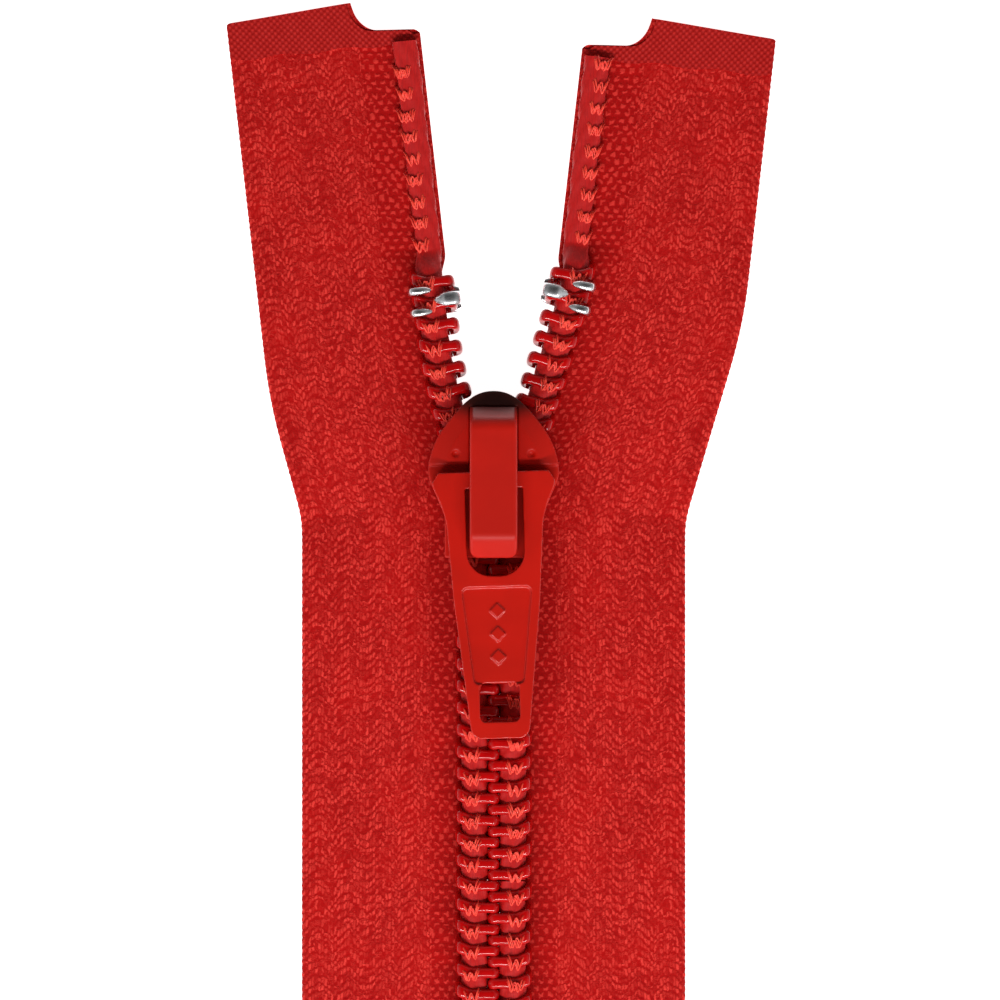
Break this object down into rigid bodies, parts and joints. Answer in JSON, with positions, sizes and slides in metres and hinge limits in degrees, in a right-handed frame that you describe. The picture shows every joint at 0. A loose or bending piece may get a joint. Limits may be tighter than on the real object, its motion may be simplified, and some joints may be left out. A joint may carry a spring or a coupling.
{
  "type": "open-end zipper",
  "caption": "Separating nylon coil zipper with woven tapes, an auto-lock slider with a swinging pull tab, metal top stops and a pin and box at the bottom.",
  "frame": {"origin": "bottom centre: on the chain's centre line, midway between the ends of the tapes, level with the underside of the slider and of the retainer box", "axes": "+Z out of the face side, +Y along the chain towards the open end, +X to the right seen from the face"},
  "size_m": [0.0422, 0.1221, 0.0088],
  "materials": {
    "tape": "woven, dyed red",
    "coil": "dyed nylon monofilament",
    "core_cord": "spun cord",
    "thread": "filament sewing thread",
    "film": "laminated film",
    "stop": "bright",
    "box": "moulded",
    "spring": "spring steel",
    "paint": "glossy enamel on die-cast zinc"
  },
  "bodies": {
    "bottom": {"retainer_box": "box", "retainer_pin": "box", "insertion_pin": "box", "left_tape_lower": "tape", "left_coil_lower": "coil", "left_sewing_thread_lower": "thread", "left_bottom_film": "film", "right_tape_lower": "tape", "right_coil_lower": "coil", "right_sewing_thread_lower": "thread", "right_bottom_film": "film"},
    "left_lower_bend": {"left_tape_lower_bend": "tape", "left_coil_lower_bend": "coil", "left_core_cord_lower_bend": "core_cord", "left_sewing_thread_lower_bend": "thread"},
    "left_middle": {"left_tape_middle": "tape", "left_coil_middle": "coil", "left_core_cord_middle": "core_cord", "left_sewing_thread_middle": "thread"},
    "left_upper_bend": {"left_tape_upper_bend": "tape", "left_coil_upper_bend": "coil", "left_core_cord_upper_bend": "core_cord", "left_sewing_thread_upper_bend": "thread"},
    "left_upper": {"left_tape_upper": "tape", "left_coil_upper": "coil", "left_core_cord_upper": "core_cord", "left_sewing_thread_upper": "thread", "left_top_stop": "stop", "left_top_film": "film"},
    "right_lower_bend": {"right_tape_lower_bend": "tape", "right_coil_lower_bend": "coil", "right_core_cord_lower_bend": "core_cord", "right_sewing_thread_lower_bend": "thread"},
    "right_middle": {"right_tape_middle": "tape", "right_coil_middle": "coil", "right_core_cord_middle": "core_cord", "right_sewing_thread_middle": "thread"},
    "right_upper_bend": {"right_tape_upper_bend": "tape", "right_coil_upper_bend": "coil", "right_core_cord_upper_bend": "core_cord", "right_sewing_thread_upper_bend": "thread"},
    "right_upper": {"right_tape_upper": "tape", "right_coil_upper": "coil", "right_core_cord_upper": "core_cord", "right_sewing_thread_upper": "thread", "right_top_stop": "stop", "right_top_film": "film"},
    "slider": {"slider_body": "paint", "slider_cover": "paint"},
    "lock": {"lock_spring": "spring"},
    "pull": {"pull_tab": "paint"}
  },
  "joints": [
    {"name": "slider_travel", "type": "slide", "parent": "bottom", "child": "slider", "axis": [0, 1, 0], "range_m": [-0.072, 0], "deforming": ["left_tape_lower_bend", "left_coil_lower_bend", "left_core_cord_lower_bend", "left_sewing_thread_lower_bend", "left_tape_middle", "left_coil_middle", "left_core_cord_middle", "left_sewing_thread_middle", "left_tape_upper_bend", "left_coil_upper_bend", "left_core_cord_upper_bend", "left_sewing_thread_upper_bend", "right_tape_lower_bend", "right_coil_lower_bend", "right_core_cord_lower_bend", "right_sewing_thread_lower_bend", "right_tape_middle", "right_coil_middle", "right_core_cord_middle", "right_sewing_thread_middle", "right_tape_upper_bend", "right_coil_upper_bend", "right_core_cord_upper_bend", "right_sewing_thread_upper_bend"]},
    {"name": "pull_swing", "type": "hinge", "parent": "slider", "child": "pull", "pos_m": [0, 0.02435, 0.0065], "axis": [-0.9996, -0.0279, 0], "range_deg": [0, 150]},
    {"name": "lock_lift", "type": "slide", "parent": "slider", "child": "lock", "axis": [0, 0, 1], "range_m": [0, 0.0005]},
    {"name": "left_lower_fork", "type": "hinge", "parent": "bottom", "child": "left_lower_bend", "pos_m": [0, -0.04875, 0.0015], "axis": [0, 0, 1], "range_deg": [0, 15.52]},
    {"name": "left_lower_mouth", "type": "hinge", "parent": "left_lower_bend", "child": "left_middle", "pos_m": [0, -0.03705, 0.0015], "axis": [0, 0, 1], "range_deg": [-9.01, 0]},
    {"name": "left_fork", "type": "hinge", "parent": "left_middle", "child": "left_upper_bend", "pos_m": [0, 0.02325, 0.0015], "axis": [0, 0, 1], "range_deg": [-15.52, 0]},
    {"name": "left_mouth", "type": "hinge", "parent": "left_upper_bend", "child": "left_upper", "pos_m": [-0.00313, 0.03452, 0.0015], "axis": [0, 0, 1], "range_deg": [0, 9.01]},
    {"name": "right_lower_fork", "type": "hinge", "parent": "bottom", "child": "right_lower_bend", "pos_m": [0, -0.04875, 0.0015], "axis": [0, 0, 1], "range_deg": [-15.52, 0]},
    {"name": "right_lower_mouth", "type": "hinge", "parent": "right_lower_bend", "child": "right_middle", "pos_m": [0, -0.03705, 0.0015], "axis": [0, 0, 1], "range_deg": [0, 9.01]},
    {"name": "right_fork", "type": "hinge", "parent": "right_middle", "child": "right_upper_bend", "pos_m": [0, 0.02325, 0.0015], "axis": [0, 0, 1], "range_deg": [0, 15.52]},
    {"name": "right_mouth", "type": "hinge", "parent": "right_upper_bend", "child": "right_upper", "pos_m": [0.00313, 0.03452, 0.0015], "axis": [0, 0, 1], "range_deg": [-9.01, 0]}
  ],
  "couplings": [
    {"joint": "lock_lift", "follows": "pull_swing", "m_per_rad": 0.0001908},
    {"joint": "left_lower_fork", "follows": "slider_travel", "rad_per_m": -3.7573},
    {"joint": "left_lower_mouth", "follows": "slider_travel", "rad_per_m": 2.1817},
    {"joint": "left_fork", "follows": "slider_travel", "rad_per_m": 3.7573},
    {"joint": "left_mouth", "follows": "slider_travel", "rad_per_m": -2.1817},
    {"joint": "right_lower_fork", "follows": "slider_travel", "rad_per_m": 3.7573},
    {"joint": "right_lower_mouth", "follows": "slider_travel", "rad_per_m": -2.1817},
    {"joint": "right_fork", "follows": "slider_travel", "rad_per_m": -3.7573},
    {"joint": "right_mouth", "follows": "slider_travel", "rad_per_m": 2.1817}
  ]
}
